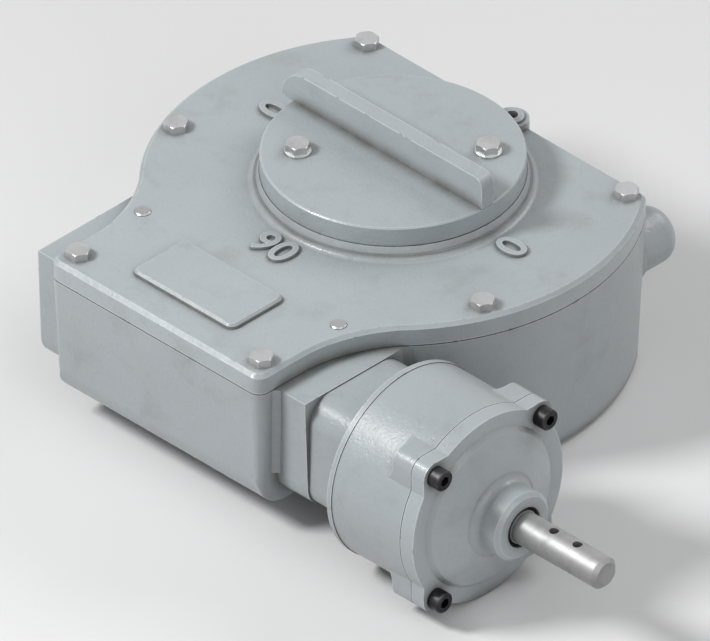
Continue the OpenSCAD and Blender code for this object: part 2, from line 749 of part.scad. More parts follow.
module cover_gasket() {
    color([0.25, 0.25, 0.24]) difference() {
        slab(body_h, gasket_t);
        intersection() {
            translate([0, 0, body_h - over]) cylinder(h=gasket_t + 2 * over, r=chamber_r);
            translate([-chamber_r, -chamber_r, 0])
                cube([2 * chamber_r, chamber_r + back_flat - back_wall, 2 * body_h]);
        }
        translate([-cav_x, -cav_front, body_h - over]) cube([2 * cav_x, cav_front, gasket_t + 2 * over]);
        both_sides() for (b = BOLTS) translate([b[0], b[1], body_h - over])
            cylinder(h=gasket_t + 2 * over, r=m8_r + screw_gap);
        both_sides() translate([dowel_x, dowel_y, body_h - over])
            cylinder(h=gasket_t + 2 * over, r=dowel_r + fit);
    }
}

module cover_bolts() {
    color([0.72, 0.72, 0.70]) both_sides() for (b = BOLTS) translate([b[0], b[1], cover_top])
        hex_bolt(cover_t + gasket_t + m8_grip);
}

module cover_dowels() {
    color([0.6, 0.6, 0.6]) both_sides() translate([dowel_x, dowel_y, body_h - dowel_deep]) {
        cylinder(h=dowel_deep + gasket_t + cover_t + 0.4, r=dowel_r);
        translate([0, 0, dowel_deep + gasket_t + cover_t + 0.4]) cylinder(h=0.6, r1=dowel_r, r2=dowel_r - 0.6);
    }
}

module lower_bush() {
    color([0.72, 0.55, 0.3]) translate([0, 0, bush_z]) {
        ring(floor_t + floor_boss - bush_z, low_r + bush_t - fit, low_r + fit);
        translate([0, 0, floor_t + floor_boss - bush_z]) ring(collar_t, hub_r, low_r + fit);
    }
}

module upper_bush() {
    color([0.72, 0.55, 0.3]) {
        translate([0, 0, cover_z]) ring(cover_t - 1, top_r + bush_t - fit, top_r + fit);
        translate([0, 0, cover_z - collar_t]) ring(collar_t, hub_r, top_r + fit);
    }
}

module lower_seal() {
    color([0.15, 0.15, 0.15]) translate([0, 0, register_h + 1]) ring(low_seal_w, low_r + bush_t - fit, low_r + fit);
}

module upper_seal() {
    color([0.15, 0.15, 0.15]) translate([0, 0, cover_top]) ring(ind_boss_h - 0.8, top_r + bush_t - fit, top_r + fit);
}

module sector(r, h) {
    intersection() {
        cylinder(h=h, r=r);
        translate([-r, -r, 0]) cube([r + quad_edge, r + quad_edge, h]);
    }
}

module worm_wheel() {
    step = 360 / wheel_teeth;
    reach = asin((quad_edge - 3) / wheel_tip_r);
    count = floor((90 + 2 * reach) / step);
    first = 270 + step * (floor(reach / step - 0.5) + 0.5);
    color([0.45, 0.46, 0.47]) difference() {
        union() {
            translate([0, 0, register_h + 0.5]) cylinder(h=hub_low - register_h, r=low_r);
            translate([0, 0, hub_low]) cylinder(h=hub_high - hub_low, r=hub_r);
            translate([0, 0, hub_high - eps]) cylinder(h=ind_z - hub_high + eps, r=top_r);
            translate([0, 0, worm_z - web_t / 2]) sector(rim_in_r + 1, web_t);
            translate([0, 0, worm_z - rim_w / 2]) difference() {
                sector(wheel_root_r, rim_w);
                translate([0, 0, -over]) cylinder(h=rim_w + 2 * over, r=rim_in_r);
            }
            for (i = [0:count - 1]) rotate(first - i * step) translate([0, 0, worm_z]) rotate([lead_angle, 0, 0])
                translate([0, 0, -rim_w / 2]) linear_extrude(height=rim_w) polygon(tooth(wheel_flank, 0));
        }
        translate([0, 0, sleeve_top]) cylinder(h=ind_z, r=spline_r - spline_d - 1);
        translate([0, 0, register_h]) linear_extrude(height=sleeve_top - register_h)
            polygon(spline(spline_r - spline_d + 2 * fit, spline_r + 2 * fit));
        translate([0, 0, register_h]) cylinder(h=sleeve_low - register_h, r=spline_r + 0.5);
        translate([0, 0, sleeve_low - clip_t]) cylinder(h=clip_t, r=spline_r + clip_d);
        for (a = [-1, 1]) translate([a * ind_bolt_at, a * ind_bolt_at, ind_z - 20]) cylinder(h=20 + over, r=m8_r + fit);
    }
}

module drive_sleeve() {
    color([0.55, 0.56, 0.58]) difference() {
        translate([0, 0, sleeve_low]) linear_extrude(height=sleeve_top - sleeve_low)
            polygon(spline(spline_r - spline_d, spline_r));
        translate([0, 0, sleeve_low - over]) cylinder(h=sleeve_top, r=stem_r);
        translate([-key_w / 2, 0, sleeve_low - over]) cube([key_w, stem_r + key_d, sleeve_top]);
    }
}

module sleeve_ring() {
    color([0.3, 0.3, 0.3]) translate([0, 0, sleeve_low - clip_t + 0.1])
        ring(clip_t - 0.2, spline_r + clip_d - 0.3, spline_r - spline_d);
}

module indicator_plate() {
    color([0.70, 0.72, 0.73]) difference() {
        union() {
            translate([0, 0, ind_z]) cylinder(h=ind_t - 0.8, r=ind_r);
            translate([0, 0, ind_top - 0.8]) cylinder(h=0.8, r1=ind_r, r2=ind_r - 0.8);
            translate([0, bar_w / 2, ind_top - eps]) xz_prism(bar_w) {
                translate([bar_round - bar_tip, 0]) intersection() {
                    translate([0, bar_h - bar_round]) circle(r=bar_round);
                    translate([-bar_round, 0]) square([bar_round, bar_h]);
                }
                translate([bar_round - bar_tip, 0]) square([bar_tip - bar_round + bar_tail - 6, bar_h]);
                square([bar_tail, bar_h - 6]);
                translate([bar_tail - 6, bar_h - 6]) circle(r=6);
            }
        }
        for (a = [-1, 1]) translate([a * ind_bolt_at, a * ind_bolt_at, ind_z - over])
            cylinder(h=ind_t + 2 * over, r=m8_r + screw_gap);
    }
}

module indicator_bolts() {
    color([0.72, 0.72, 0.70]) for (a = [-1, 1]) translate([a * ind_bolt_at, a * ind_bolt_at, ind_top]) {
        cylinder(h=1, r=m8_af / 2 + 1.5);
        translate([0, 0, 1]) hex_bolt(ind_t + m8_grip + 1);
    }
}

// one helical ridge, four points to a ring, left handed about local Z
module thread(turns, steps) {
    n = ceil(turns * steps);
    t = tan(press_angle);
    half = pitch_len / 4 - worm_play;
    sink = worm_root_r - 0.6;
    pts = [for (i = [0:n]) let (a = 90 - 360 * (i / steps - turns / 2), z = pitch_len * (i / steps - turns / 2))
        each [for (q = [[sink, -1], [worm_tip_r, -1], [worm_tip_r, 1], [sink, 1]])
            [q[0] * cos(a), q[0] * sin(a), z + q[1] * (half + (worm_pitch_r - q[0]) * t)]]];
    sides = [for (i = [0:n - 1], j = [0:3]) each let (a = 4 * i + j, b = 4 * i + (j + 1) % 4)
        [[a, b + 4, b], [a, a + 4, b + 4]]];
    polyhedron(points=pts, faces=concat([[0, 1, 2, 3]], sides, [[4 * n + 3, 4 * n + 2, 4 * n + 1, 4 * n]]));
}

module worm() {
    color([0.5, 0.51, 0.53]) difference() {
        worm_axis() {
            translate([0, 0, lb_x + 0.3]) cylinder(h=lb_w, r=lb_in);
            translate([0, 0, lb_end]) cylinder(h=rb_x - lb_end, r=worm_root_r);
            translate([0, 0, rb_x - eps]) cylinder(h=rb_w + eps, r=rb_in);
            translate([0, 0, rb_end - eps]) cylinder(h=stub_end - rb_end, r=stub_r);
            thread(worm_turns, 20);
        }
        worm_axis(rb_end + 3) translate([-drive_key / 2, stub_r - drive_key / 2, 0])
            cube([drive_key, drive_key, stub_end - rb_end]);
    }
}

module worm_left_outer_ring() {
    color([0.7, 0.71, 0.73]) worm_axis(lb_x) outer_ring(lb_in, lb_out, lb_w);
}

module worm_left_inner_ring() {
    color([0.7, 0.71, 0.73]) worm_axis(lb_x) inner_ring(lb_in, lb_out, lb_w);
}

module worm_left_balls() {
    color([0.8, 0.8, 0.82]) worm_axis(lb_x) balls(lb_in, lb_out, lb_w);
}

module worm_right_outer_ring() {
    color([0.7, 0.71, 0.73]) worm_axis(rb_x) outer_ring(rb_in, rb_out, rb_w);
}

module worm_right_inner_ring() {
    color([0.7, 0.71, 0.73]) worm_axis(rb_x) inner_ring(rb_in, rb_out, rb_w);
}

module worm_right_balls() {
    color([0.8, 0.8, 0.82]) worm_axis(rb_x) balls(rb_in, rb_out, rb_w);
}

module end_plug() {
    color([0.55, 0.57, 0.58]) worm_axis(-block_w / 2 + 0.6 + clip_t) cylinder(h=plug_t, r=lb_out - fit);
}

module plug_ring() {
    color([0.3, 0.3, 0.3]) worm_axis(-block_w / 2 + 0.7) ring(clip_t - 0.2, lb_out + clip_d - 0.3, lb_out - 3);
}

module bearing_ring() {
    color([0.3, 0.3, 0.3]) worm_axis(rb_end + 0.1) ring(clip_t - 0.2, rb_out + clip_d - 0.3, rb_out - 3);
}

module worm_seal() {
    color([0.15, 0.15, 0.15]) worm_axis(boss_x - worm_seal_w - 1) ring(worm_seal_w, rb_out - fit, hub_out + fit);
}

module stop_screw() {
    translate([stop_x, stop_tip, worm_z]) rotate([-90, 0, 0]) difference() {
        union() {
            cylinder(h=stop_out + spigot_l + stop_nut_t + 1.5 - stop_tip, r=stop_r);
        }
        translate([0, 0, stop_out + spigot_l + stop_nut_t - 6 - stop_tip]) hex(8, 10);
    }
}

module stop_screw_open() {
    color([0.5, 0.5, 0.5]) stop_screw();
}

module stop_screw_shut() {
    color([0.5, 0.5, 0.5]) mirror([1, 0, 0]) stop_screw();
}

module stop_nuts() {
    color([0.7, 0.7, 0.7]) both_sides() translate([stop_x, stop_out + spigot_l, worm_z]) rotate([-90, 0, 0])
        difference() {
            hex(stop_nut_af, stop_nut_t);
            translate([0, 0, -over]) cylinder(h=stop_nut_t + 2 * over, r=stop_r + fit);
        }
}

module stop_caps() {
    dome_r = 11.84;
    color([0.62, 0.65, 0.66]) both_sides() translate([stop_x, stop_out + 0.5, worm_z]) rotate([-90, 0, 0])
        difference() {
            union() {
                cylinder(h=stop_cap_l, r=stop_cap_r);
                translate([0, 0, stop_cap_l]) rotate_extrude() intersection() {
                    union() {
                        translate([stop_cap_r - dome_r, 0]) circle(r=dome_r);
                        square([stop_cap_r - dome_r, stop_dome]);
                    }
                    square([stop_cap_r, stop_dome]);
                }
            }
            translate([0, 0, -over]) cylinder(h=stop_cap_l + over, r=spigot_r);
            translate([0, 0, stop_cap_l - eps]) cylinder(h=stop_dome - 4, r1=spigot_r, r2=stop_r + 1);
        }
}

module stop_cap_seals() {
    color([0.15, 0.15, 0.15]) both_sides() translate([stop_x, stop_out, worm_z]) rotate([-90, 0, 0])
        ring(0.5, stop_cap_r - 0.2, spigot_r + 0.1);
}

module reducer_gasket() {
    color([0.25, 0.25, 0.24]) worm_axis(boss_x) linear_extrude(height=red_gasket_t) difference() {
        round_square(boss_half, boss_half, boss_corner);
        circle(r=rb_out);
        for (a = [45:90:315]) rotate(a) translate([mount_at, 0]) circle(r=m6_r + screw_gap);
    }
}

module reducer_housing() {
    color([0.62, 0.65, 0.66]) worm_axis() difference() {
        union() {
            translate([0, 0, red_x]) cylinder(h=red_rim_w, r=red_rim_r);
            translate([0, 0, red_x]) cylinder(h=red_l, r=red_r);
            intersection() {
                translate([0, 0, end_x - lobe_l - lobe_fillet]) linear_extrude(height=lobe_l + lobe_fillet)
                    round_square(lobe_at + lobe_r, lobe_at + lobe_r, lobe_r);
                translate([0, 0, end_x - lobe_l - lobe_fillet]) rotate_extrude() difference() {
                    square([red_r + 12, lobe_l + lobe_fillet]);
                    translate([red_r + lobe_fillet, 0]) circle(r=lobe_fillet + 0.2);
                    translate([red_r + lobe_fillet, -over]) square([12, lobe_fillet + over + 0.2]);
                }
            }
        }
        translate([0, 0, end_x - seam]) linear_extrude(height=seam + over) difference() {
            circle(r=2 * red_r);
            end_outline(seam);
        }
        translate([0, 0, red_x - over]) cylinder(h=red_back + 2 * over, r=hub_out + 1);
        translate([0, 0, wall_x]) cylinder(h=ring_x - wall_x + over, r=ring_r - 4);
        translate([0, 0, ring_x]) cylinder(h=red_l, r=ring_r + fit);
        for (a = [45:90:315]) rotate(a) translate([mount_at, 0, red_x - over])
            cylinder(h=red_back + 2 * over, r=m6_r + 0.3);
        for (x = [-1, 1], y = [-1, 1]) translate([x * lobe_at, y * lobe_at, end_x - lobe_l + 3])
            cylinder(h=lobe_l, r=m8_r + fit);
    }
}

module reducer_mount_screws() {
    color([0.3, 0.3, 0.3]) for (a = [45:90:315]) worm_axis(wall_x) rotate(a) translate([mount_at, 0, 0])
        socket_screw(m6_r, m6_k, m6_cap_r, m6_socket, red_back + red_gasket_t + m6_grip);
}

module ring_gear() {
    color([0.5, 0.51, 0.53]) worm_axis(ring_x) difference() {
        cylinder(h=ring_w, r=ring_r);
        translate([0, 0, -over]) linear_extrude(height=ring_w + 2 * over) polygon(teeth(ring_flank, ring_teeth));
    }
}

module end_outline(inset=0) {
    circle(r=red_r - inset);
    round_square(lobe_at + lobe_r - inset, lobe_at + lobe_r - inset, lobe_r - inset);
}

module reducer_cover() {
    color([0.66, 0.69, 0.70]) worm_axis() difference() {
        union() {
            translate([0, 0, end_x]) linear_extrude(height=end_t - 2) end_outline();
            intersection() {
                translate([0, 0, face_x - 2]) linear_extrude(height=2) end_outline();
                translate([0, 0, face_x - 2]) cylinder(h=2, r1=(lobe_at + lobe_r) * 1.5, r2=(lobe_at + lobe_r) * 1.5 - 2);
            }
            translate([0, 0, ring_x + ring_w]) cylinder(h=end_x - ring_x - ring_w + over, r=ring_r - fit);
            rotate_extrude() translate([0, face_x]) difference() {
                polygon([[0, -over], [face_r, -over], [face_r, 0], [face_r - face_step, face_step],
                    [nose_r + nose_fillet, face_rise], [nose_r + nose_fillet, face_rise],
                    [nose_r, face_rise + nose_fillet], [nose_r, nose_l - nose_break],
                    [nose_r - nose_break, nose_l], [0, nose_l]]);
                translate([nose_r + nose_fillet, face_rise + nose_fillet]) circle(r=nose_fillet);
            }
        }
        translate([0, 0, ring_x]) cylinder(h=end_x - ring_x, r=ring_pitch_r + 3);
        translate([0, 0, end_x - over]) cylinder(h=lb_w + 0.4 + over, r=lb_out);
        translate([0, 0, end_x]) cylinder(h=nose_x - end_x - 2.2, r=seal_r);
        translate([0, 0, end_x]) cylinder(h=nose_x, r=lip_r);
        for (x = [-1, 1], y = [-1, 1]) translate([x * lobe_at, y * lobe_at, end_x - over])
            cylinder(h=end_t + 2 * over, r=m8_r + screw_gap);
    }
}

module reducer_screws() {
    color([0.3, 0.3, 0.3]) for (x = [-1, 1], y = [-1, 1]) worm_axis(face_x) translate([x * lobe_at, y * lobe_at, 0])
        socket_screw(m8_r, 2 * m8_r, m8_cap_r, m8_socket, end_t + 10);
}

module planet_places() {
    for (a = [0:120:240]) rotate(a) translate([planet_at, 0, 0]) children();
}

module planet_carrier() {
    clear_r = sun_r + red_m + 1;
    color([0.5, 0.51, 0.53]) worm_axis() difference() {
        union() {
            translate([0, 0, rb_end + 0.2]) cylinder(h=plate_x - rb_end, r=hub_out);
            translate([0, 0, plate_x]) cylinder(h=plate_t, r=plate_r);
            translate([0, 0, front_x]) cylinder(h=front_t, r=plate_r);
            difference() {
                translate([0, 0, plate_x + over]) ring(front_x - plate_x, plate_r - 1, clear_r + 3);
                translate([0, 0, plate_x]) planet_places() cylinder(h=carrier_end - plate_x, r=clear_r);
            }
        }
        translate([0, 0, rb_end - over]) cylinder(h=plate_x + plate_t - rb_end + 2 * over, r=stub_r + fit);
        translate([0, 0, front_x - over]) cylinder(h=front_t + 2 * over, r=clear_r + 3);
        translate([0, 0, plate_x - over]) planet_places() cylinder(h=carrier_end, r=pin_r + fit);
        translate([-drive_key / 2, 0, rb_end + 3]) cube([drive_key, stub_r + drive_key / 2, stub_end - rb_end]);
    }
}

module carrier_key() {
    color([0.5, 0.5, 0.5]) worm_axis(rb_end + 3.2) translate([0.1 - drive_key / 2, stub_r + 0.1 - drive_key / 2, 0])
        cube([drive_key - 0.2, drive_key - 0.2, stub_end - rb_end - 4]);
}

module planet_pins() {
    color([0.7, 0.71, 0.73]) worm_axis(plate_x) planet_places() cylinder(h=carrier_end - plate_x, r=pin_r);
}

module planet_gear(a) {
    color([0.55, 0.56, 0.58]) worm_axis(gear_x) rotate(a) translate([planet_at, 0, 0]) difference() {
        linear_extrude(height=red_w) polygon(teeth(sun_flank, sun_teeth));
        translate([0, 0, -over]) cylinder(h=red_w + 2 * over, r=pbush_r + fit);
    }
}

module planet_bush(a) {
    color([0.72, 0.55, 0.3]) worm_axis(gear_x) rotate(a) translate([planet_at, 0, 0]) ring(red_w, pbush_r, pin_r + fit);
}

module planet_gear_1() {
    planet_gear(0);
}

module planet_gear_2() {
    planet_gear(120);
}

module planet_gear_3() {
    planet_gear(240);
}

module planet_bush_1() {
    planet_bush(0);
}

module planet_bush_2() {
    planet_bush(120);
}

module planet_bush_3() {
    planet_bush(240);
}

module pilot_bush() {
    color([0.72, 0.55, 0.3]) worm_axis(pilot_x) ring(plate_x + plate_t - pilot_x, stub_r, 8 + fit);
}

module input_shaft() {
    color([0.75, 0.76, 0.78]) worm_axis() difference() {
        union() {
            translate([0, 0, pilot_x]) cylinder(h=gear_x - pilot_x + eps, r=8);
            translate([0, 0, gear_x]) linear_extrude(height=red_w) polygon(teeth(sun_flank, sun_teeth));
            translate([0, 0, gear_x]) cylinder(h=ib_x - gear_x - 3, r=sun_r - 1.25 * red_m);
            translate([0, 0, ib_x - 4]) cylinder(h=4, r=lb_in + 3);
            translate([0, 0, ib_x - eps]) cylinder(h=lb_w, r=lb_in);
            translate([0, 0, ib_x]) cylinder(h=nose_x - ib_x - 0.5, r=shaft_r + 0.5);
            translate([0, 0, ib_x]) cylinder(h=shaft_end - ib_x - 2.5, r=shaft_r);
            translate([0, 0, shaft_end - 2.5 - eps]) cylinder(h=2.5, r1=shaft_r, r2=shaft_r - 2.5);
        }
        for (x = [shaft_end - cross_end, shaft_end - cross_end - cross_gap]) translate([-2 * shaft_r, 0, x])
            rotate([0, 90, 0]) cylinder(h=4 * shaft_r, r=cross_r);
    }
}

module input_outer_ring() {
    color([0.7, 0.71, 0.73]) worm_axis(ib_x) outer_ring(lb_in, lb_out, lb_w);
}

module input_inner_ring() {
    color([0.7, 0.71, 0.73]) worm_axis(ib_x) inner_ring(lb_in, lb_out, lb_w);
}

module input_balls() {
    color([0.8, 0.8, 0.82]) worm_axis(ib_x) balls(lb_in, lb_out, lb_w);
}

module input_seal() {
    color([0.15, 0.15, 0.15]) worm_axis(nose_x - 2.4 - seal_w) {
        ring(seal_w, seal_r - fit, shaft_r + 3);
        translate([0, 0, seal_w - 2]) ring(2, shaft_r + 4, shaft_r + 0.5 + fit);
    }
}

housing();
top_cover();
cover_gasket();
cover_bolts();
cover_dowels();
lower_bush();
upper_bush();
lower_seal();
upper_seal();
worm_wheel();
drive_sleeve();
sleeve_ring();
indicator_plate();
indicator_bolts();
worm();
worm_left_outer_ring();
worm_left_inner_ring();
worm_left_balls();
worm_right_outer_ring();
worm_right_inner_ring();
worm_right_balls();
end_plug();
plug_ring();
bearing_ring();
worm_seal();
stop_screw_open();
stop_screw_shut();
stop_nuts();
stop_caps();
stop_cap_seals();
reducer_gasket();
reducer_housing();
reducer_mount_screws();
ring_gear();
reducer_cover();
reducer_screws();
planet_carrier();
carrier_key();
planet_pins();
planet_gear_1();
planet_gear_2();
planet_gear_3();
planet_bush_1();
planet_bush_2();
planet_bush_3();
pilot_bush();
input_shaft();
input_outer_ring();
input_inner_ring();
input_balls();
input_seal();
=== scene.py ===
# Worm gear operator, dressed for the studio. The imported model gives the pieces, this file their finish.
import json
import math

import bmesh
import bpy
from mathutils import Matrix, Vector


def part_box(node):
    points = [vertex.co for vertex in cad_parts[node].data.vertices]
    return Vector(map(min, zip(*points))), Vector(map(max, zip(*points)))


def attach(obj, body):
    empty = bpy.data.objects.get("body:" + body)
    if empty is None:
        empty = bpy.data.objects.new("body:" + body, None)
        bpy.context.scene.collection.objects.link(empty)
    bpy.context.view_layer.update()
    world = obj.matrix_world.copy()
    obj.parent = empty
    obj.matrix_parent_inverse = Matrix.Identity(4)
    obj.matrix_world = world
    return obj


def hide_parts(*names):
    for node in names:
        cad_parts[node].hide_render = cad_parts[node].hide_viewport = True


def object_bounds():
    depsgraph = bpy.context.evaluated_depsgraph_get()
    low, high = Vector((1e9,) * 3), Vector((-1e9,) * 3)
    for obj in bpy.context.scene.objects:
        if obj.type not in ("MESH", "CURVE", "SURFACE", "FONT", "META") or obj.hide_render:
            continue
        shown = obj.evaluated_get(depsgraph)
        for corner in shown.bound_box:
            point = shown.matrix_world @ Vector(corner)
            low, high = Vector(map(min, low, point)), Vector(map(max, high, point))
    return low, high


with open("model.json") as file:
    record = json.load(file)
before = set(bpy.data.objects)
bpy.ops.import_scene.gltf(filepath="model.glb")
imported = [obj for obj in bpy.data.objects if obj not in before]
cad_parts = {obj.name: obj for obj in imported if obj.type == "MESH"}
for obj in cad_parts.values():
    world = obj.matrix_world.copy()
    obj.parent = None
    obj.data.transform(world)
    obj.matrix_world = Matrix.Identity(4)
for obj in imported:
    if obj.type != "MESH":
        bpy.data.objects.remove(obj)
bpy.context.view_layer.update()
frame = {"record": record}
print("frame loaded")


class Wire:  # a shader value that takes part in plain arithmetic
    def __init__(self, graph, socket):
        self.graph = graph
        self.socket = socket

    def maths(self, operation, first, second):
        return self.graph.add("ShaderNodeMath", {"operation": operation}, [first, second])

    def __add__(self, other):
        return self.maths("ADD", self, other)

    def __sub__(self, other):
        return self.maths("SUBTRACT", self, other)

    def __rsub__(self, other):
        return self.maths("SUBTRACT", other, self)

    def __mul__(self, other):
        return self.maths("MULTIPLY", self, other)

    __radd__ = __add__
    __rmul__ = __mul__

    def larger(self, other):
        return self.maths("MAXIMUM", self, other)

    def ramp(self, low, high):  # 0 below low, 1 above high, smooth between
        return self.graph.add("ShaderNodeMapRange", {"interpolation_type": "SMOOTHSTEP"},
                              {"Value": self, "From Min": low, "From Max": high})


class Graph:  # the nodes of a material or of the world
    def __init__(self, owner):
        owner.use_nodes = True
        self.nodes = owner.node_tree.nodes
        self.links = owner.node_tree.links
        self.nodes.clear()

    def put(self, socket, value):
        if isinstance(value, Wire):
            self.links.new(value.socket, socket)
        elif socket.type == "RGBA":
            socket.default_value = (*value, 1.0)
        else:
            socket.default_value = value

    def add(self, kind, settings, values, output=0):
        node = self.nodes.new(kind)
        for key, value in settings.items():
            setattr(node, key, value)
        for key, value in values.items() if isinstance(values, dict) else enumerate(values):
            self.put(node.inputs[key], value)
        return Wire(self, node.outputs[output]) if node.outputs else None


class Finish(Graph):  # one material, its patterns placed by the piece's own coordinates
    def __init__(self, name):
        self.material = bpy.data.materials.new(name)
        super().__init__(self.material)
        self.place = self.add("ShaderNodeTexCoord", {}, {}, "Object")

    def noise(self, scale, detail=3.0, roughness=0.5, stretch=None):
        place = self.place
        if stretch:
            place = self.add("ShaderNodeMapping", {}, {"Vector": place, "Scale": stretch})
        return self.add("ShaderNodeTexNoise", {},
                        {"Vector": place, "Scale": scale, "Detail": detail, "Roughness": roughness})

    def mix(self, factor, under, over):  # inputs 6 and 7 and output 2 are the node's colours
        return self.add("ShaderNodeMix", {"data_type": "RGBA"}, {0: factor, 6: under, 7: over}, 2)

    def bump(self, height, depth):
        return self.add("ShaderNodeBump", {}, {"Height": height, "Strength": 1.0, "Distance": depth})

    def edges(self, radius, low, high):  # 1 along an outer or inner edge
        rounded = self.add("ShaderNodeBevel", {"samples": 6}, {"Radius": radius})
        flat = self.add("ShaderNodeNewGeometry", {}, {}, "Normal")
        same = self.add("ShaderNodeVectorMath", {"operation": "DOT_PRODUCT"}, [rounded, flat], "Value")
        return (1.0 - same).ramp(low, high)

    def hollow(self, reach):  # 1 in a corner, 0 on an open face
        return 1.0 - self.add("ShaderNodeAmbientOcclusion", {"samples": 8}, {"Distance": reach}, "AO")

    def axes(self):  # X, Y and Z of the place on the piece
        return [self.add("ShaderNodeSeparateXYZ", {}, {"Vector": self.place}, axis) for axis in "XYZ"]

    def made(self, colour, rough, metal=0.0, coat=0.0, normal=None):
        values = {"Base Color": colour, "Roughness": rough, "Metallic": metal, "Coat Weight": coat}
        if normal:
            values["Normal"] = normal
        shader = self.add("ShaderNodeBsdfPrincipled", {}, values)
        self.add("ShaderNodeOutputMaterial", {}, {"Surface": shader})
        return self.material


def toned(colour, tone):
    return tuple(part * tone for part in colour)


metals = {  # tint is the colour of the blots, edge that of a rubbed edge
    "zincPlate": {"slot": "bolt_zinc", "rough": 0.38, "colour": (0.52, 0.525, 0.53),
                  "tint": (0.42, 0.425, 0.42), "edge": (0.64, 0.64, 0.64)},
    "blackScrew": {"slot": "screw_black", "rough": 0.42, "colour": (0.035, 0.035, 0.038),
                   "tint": (0.075, 0.075, 0.08), "edge": (0.22, 0.22, 0.225)},
    "gearSteel": {"slot": "steel", "rough": 0.36, "colour": (0.42, 0.42, 0.42),
                  "tint": (0.36, 0.36, 0.36), "edge": (0.6, 0.6, 0.6)},
    "bearingBronze": {"slot": "bronze", "rough": 0.32, "colour": (0.55, 0.36, 0.16),
                      "tint": (0.46, 0.30, 0.14), "edge": (0.68, 0.47, 0.24)},
    "machinedIron": {"slot": "iron", "rough": 0.48, "colour": (0.24, 0.24, 0.25),
                     "tint": (0.19, 0.19, 0.195), "edge": (0.4, 0.4, 0.4)},
    "turnedSteel": {"slot": "shaft", "rough": 0.54, "colour": (0.33, 0.33, 0.33),
                    "tint": (0.26, 0.26, 0.265), "edge": (0.42, 0.42, 0.42),
                    "lines": (1600.0, 12.0, 12.0), "depth": 0.00002},  # tool marks run round the shaft
}
metalWear = {
    "blots": (80.0, 4.0, 0.6),  # scale, detail and roughness of a noise, here and below
    "blotBand": (0.42, 0.67),  # where a blot sets in and where it is full
    "blotShare": 0.8,
    "blotRough": 0.18,
    "edge": 0.0006,  # width of a rubbed edge, in metres
    "edgeBand": (0.04, 0.28),
    "edgeShare": 0.7,
    "grain": (900.0, 2.0, 0.5),
    "drawn": (1.0, 2.0, 0.5),  # the grain where a metal has lines, which stretch it
    "grainRough": 0.14,
    "grainDepth": 0.00003,
}


def plainMetal(name, look):
    wear = metalWear
    f = Finish(name)
    blot = f.noise(*wear["blots"])
    colour = f.mix(blot.ramp(*wear["blotBand"]) * wear["blotShare"], look["colour"], look["tint"])
    colour = f.mix(f.edges(wear["edge"], *wear["edgeBand"]) * wear["edgeShare"], colour, look["edge"])
    fine = f.noise(*wear["drawn"], look["lines"]) if "lines" in look else f.noise(*wear["grain"])
    rough = look["rough"] + (blot - 0.5) * wear["blotRough"] + (fine - 0.5) * wear["grainRough"]
    normal = f.bump(fine - 0.5, look.get("depth", wear["grainDepth"]))
    return f.made(colour, rough, metal=1.0, normal=normal)


paint = {
    "colour": (0.365, 0.40, 0.415),  # light grey enamel
    "drift": (0.90, 1.08),  # its darkest and its lightest tone
    "thinAndHighlight": (0.56, 0.60, 0.62),  # where it has drawn back from an edge, also a painted highlight along outer edges
    # dark tone of dirt smears and specks, also used as painted shade in corners and along inner edges
    "grimeAndShade": (0.12, 0.117, 0.11),
    "undercoat": (0.22, 0.20, 0.185),  # primer under a chip
    "coat": 0.10,
    "edge": 0.0013,  # width of the edge band, in metres: worn edges, chips, a painted highlight on outer edges and painted shade on inner ones
    "reach": 0.011,  # how far a corner is felt, for the painted shade there, in metres
    "grain": {  # scale, detail and roughness of each pattern
        "cloud": (11.0, 4.0, 0.55),
        "smears": (34.0, 5.0, 0.65),
        "dents": (48.0, 3.0, 0.5),
        "patches": (90.0, 3.0, 0.5),
        "chips": (155.0, 4.0, 0.6),
        "pits": (210.0, 2.0, 0.5),
        "sand": (520.0, 3.0, 0.6),
    },
    "band": {  # where each sets in and where it is full
        "smears": (0.50, 0.75),
        "specks": (0.56, 0.72),
        "pits": (0.60, 0.70),
        "chips": (0.60, 0.63),
        "rim": (0.008, 0.085),
        "inside": (0.07, 0.18),
        "corner": (0.02, 0.50),
    },
    "share": {"smears": 0.18, "specks": 0.10, "thinAndHighlight": 0.85, "chips": 0.85, "patchLeast": 0.45,
              "patchSwing": 0.7, "innerRim": 0.7},
    "rough": {"plain": 0.36, "cloud": 0.16, "sand": 0.16, "chips": 0.3, "corner": 0.15},
    "depth": {"sand": 0.00021, "dents": 0.0005, "pits": 0.00008},
}
facedBase = {  # the underside is faced on a lathe and left bare
    "top": (0.0002, 0.0004),  # the bare face ends between these heights
    "lines": (1500.0, 2.0),  # scale and detail of the tool marks
    "bright": 1.5,
    "rough": 0.30,
    "roughSwing": 0.16,
    "depth": 0.00004,
}


